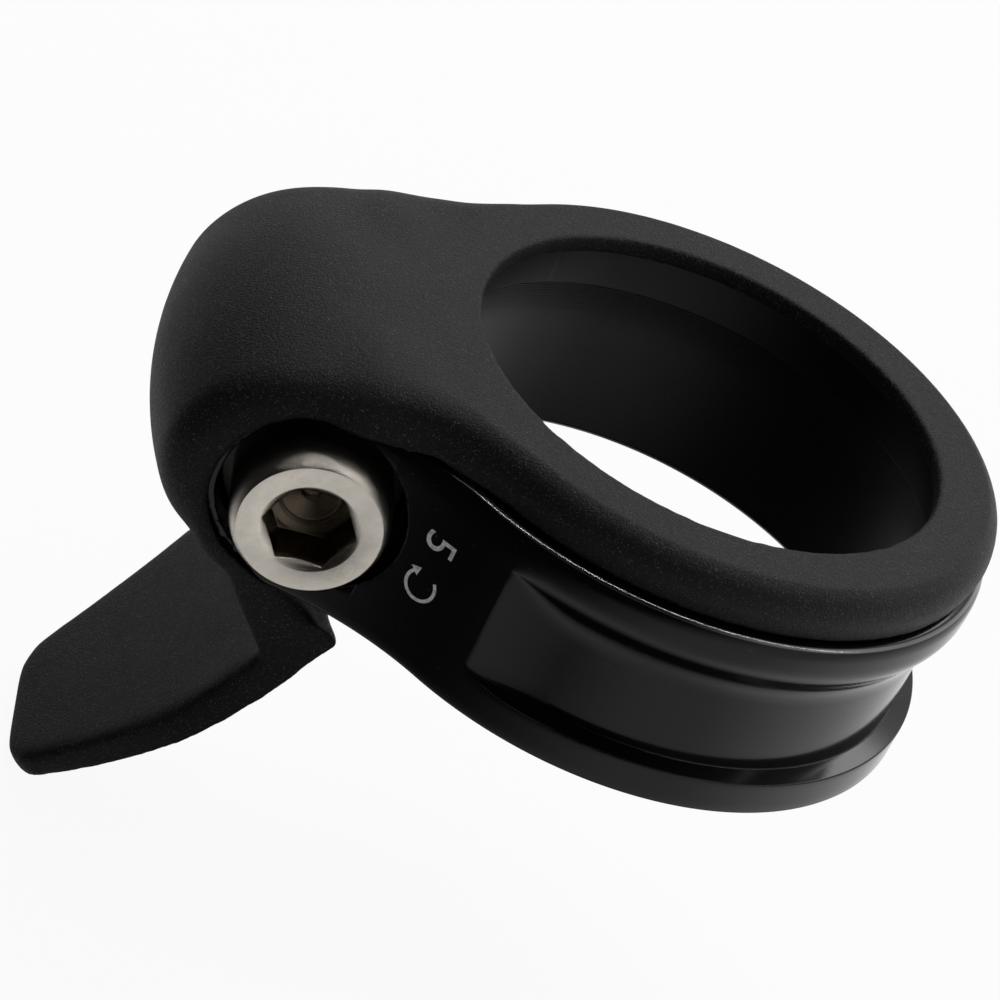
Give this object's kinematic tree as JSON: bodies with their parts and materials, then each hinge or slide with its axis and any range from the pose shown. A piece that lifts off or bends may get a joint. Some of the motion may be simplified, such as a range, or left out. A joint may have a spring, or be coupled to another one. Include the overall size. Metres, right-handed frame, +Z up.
{
  "type": "seatpost clamp",
  "caption": "Split seat tube collar with a waisted ring and a hex-socket cap screw through its lugs, under a soft moulded cover with a seal lip, a rounded hood and a down-turned tongue.",
  "frame": {"origin": "on the seat tube's axis at the ledge that stops on the tube's top edge", "axes": "+Z up along the seat tube's axis, -X towards the lugs and the slit, -Y towards the screw's head"},
  "size_m": [0.0534, 0.0408, 0.0406],
  "materials": {
    "anodised": "gloss black anodised",
    "elastomer": "matte moulded",
    "nickel": "nickel plated",
    "steel": "plain"
  },
  "bodies": {
    "collar": {"clamp_ring": "anodised", "cover": "elastomer"},
    "washer": {"washer": "steel"},
    "screw": {"clamp_bolt": "nickel"}
  },
  "joints": [
    {"name": "screw_travel", "type": "slide", "parent": "collar", "child": "washer", "axis": [0, -1, 0], "range_m": [0, 0.008]},
    {"name": "screw_turn", "type": "hinge", "parent": "washer", "child": "screw", "pos_m": [-0.0223, 0, -0.00515], "axis": [0, -1, 0], "range_deg": [0, 2880]}
  ],
  "couplings": [
    {"joint": "screw_turn", "follows": "screw_travel", "rad_per_m": 6283.2}
  ]
}
